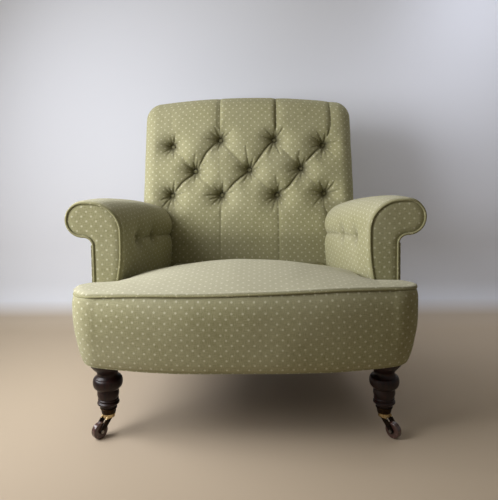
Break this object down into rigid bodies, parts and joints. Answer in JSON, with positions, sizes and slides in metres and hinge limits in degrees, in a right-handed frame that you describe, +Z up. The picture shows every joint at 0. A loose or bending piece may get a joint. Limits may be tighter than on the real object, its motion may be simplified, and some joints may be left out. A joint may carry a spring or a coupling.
{
  "type": "button back armchair",
  "caption": "Upholstered armchair with a buttoned back, piped scroll arms, a deep domed sprung seat, turned front legs and castors.",
  "frame": {"origin": "on the floor, under the middle of the chair", "axes": "+X to the right when looking at the front, +Y from the front to the back, +Z up"},
  "size_m": [0.895, 0.81, 0.8305],
  "materials": {
    "beech_frame": "planed, unfinished",
    "black_cotton": "plain weave",
    "blackened_iron": "blackened",
    "blued_tacks": "blued",
    "brown_glazed_ceramic": "glazed",
    "dotted_cotton": "woven cotton, sage green with small cream dots",
    "hair_stuffing": "curled hair under calico",
    "hessian": "open weave jute",
    "jute_webbing": "woven jute",
    "lacquered_brass": "aged, lacquered",
    "piping_cloth": "bias-cut cotton over cord",
    "polished_walnut": "dark french polish",
    "spring_steel": "coppered wire",
    "steel_pin": "dull"
  },
  "bodies": {
    "root": {"arm_buttons": "dotted_cotton", "arm_cover_left": "dotted_cotton", "arm_cover_right": "dotted_cotton", "arm_facing_left": "dotted_cotton", "arm_facing_right": "dotted_cotton", "arm_post_left": "beech_frame", "arm_post_right": "beech_frame", "arm_rail_left": "beech_frame", "arm_rail_right": "beech_frame", "arm_stuffing_left": "hair_stuffing", "arm_stuffing_right": "hair_stuffing", "back_buttons": "dotted_cotton", "back_cover": "dotted_cotton", "back_piping": "piping_cloth", "back_post_left": "polished_walnut", "back_post_right": "polished_walnut", "back_seat_rail": "beech_frame", "back_stuffing": "hair_stuffing", "back_stuffing_rail": "beech_frame", "back_top_rail": "beech_frame", "back_webbing": "jute_webbing", "border_stuffing": "hair_stuffing", "bottom_cloth": "black_cotton", "castor_cup_front_left": "lacquered_brass", "castor_cup_front_right": "lacquered_brass", "castor_cup_rear_left": "lacquered_brass", "castor_cup_rear_right": "lacquered_brass", "cloth_tacks": "blued_tacks", "corner_blocks": "beech_frame", "facing_piping": "piping_cloth", "frame_dowels": "beech_frame", "front_border": "dotted_cotton", "front_leg_left": "polished_walnut", "front_leg_right": "polished_walnut", "front_rail": "beech_frame", "outside_arm_left": "dotted_cotton", "outside_arm_right": "dotted_cotton", "outside_back": "dotted_cotton", "seat_cover": "dotted_cotton", "seat_hessian": "hessian", "seat_piping": "piping_cloth", "seat_springs": "spring_steel", "seat_stuffing": "hair_stuffing", "seat_webbing": "jute_webbing", "side_rail_left": "beech_frame", "side_rail_right": "beech_frame"},
    "castor_front_left": {"castor_horn_front_left": "blackened_iron", "castor_axle_front_left": "steel_pin"},
    "wheel_front_left": {"castor_wheel_front_left": "brown_glazed_ceramic"},
    "castor_front_right": {"castor_horn_front_right": "blackened_iron", "castor_axle_front_right": "steel_pin"},
    "wheel_front_right": {"castor_wheel_front_right": "brown_glazed_ceramic"},
    "castor_rear_left": {"castor_horn_rear_left": "blackened_iron", "castor_axle_rear_left": "steel_pin"},
    "wheel_rear_left": {"castor_wheel_rear_left": "brown_glazed_ceramic"},
    "castor_rear_right": {"castor_horn_rear_right": "blackened_iron", "castor_axle_rear_right": "steel_pin"},
    "wheel_rear_right": {"castor_wheel_rear_right": "brown_glazed_ceramic"}
  },
  "joints": [
    {"name": "castor_swivel_front_left", "type": "hinge", "parent": "root", "child": "castor_front_left", "pos_m": [-0.321, -0.302, 0.05], "axis": [0, 0, 1], "continuous": true},
    {"name": "wheel_spin_front_left", "type": "hinge", "parent": "castor_front_left", "child": "wheel_front_left", "pos_m": [-0.33771, -0.32192, 0.0185], "axis": [0.766, -0.6428, 0], "continuous": true},
    {"name": "castor_swivel_front_right", "type": "hinge", "parent": "root", "child": "castor_front_right", "pos_m": [0.321, -0.302, 0.05], "axis": [0, 0, 1], "continuous": true},
    {"name": "wheel_spin_front_right", "type": "hinge", "parent": "castor_front_right", "child": "wheel_front_right", "pos_m": [0.33771, -0.32192, 0.0185], "axis": [0.766, 0.6428, 0], "continuous": true},
    {"name": "castor_swivel_rear_left", "type": "hinge", "parent": "root", "child": "castor_rear_left", "pos_m": [-0.3033, 0.2537, 0.05], "axis": [0, 0, 1], "continuous": true},
    {"name": "wheel_spin_rear_left", "type": "hinge", "parent": "castor_rear_left", "child": "wheel_rear_left", "pos_m": [-0.31551, 0.27666, 0.0185], "axis": [-0.8829, -0.4695, 0], "continuous": true},
    {"name": "castor_swivel_rear_right", "type": "hinge", "parent": "root", "child": "castor_rear_right", "pos_m": [0.3033, 0.2537, 0.05], "axis": [0, 0, 1], "continuous": true},
    {"name": "wheel_spin_rear_right", "type": "hinge", "parent": "castor_rear_right", "child": "wheel_rear_right", "pos_m": [0.31551, 0.27666, 0.0185], "axis": [-0.8829, 0.4695, 0], "continuous": true}
  ]
}
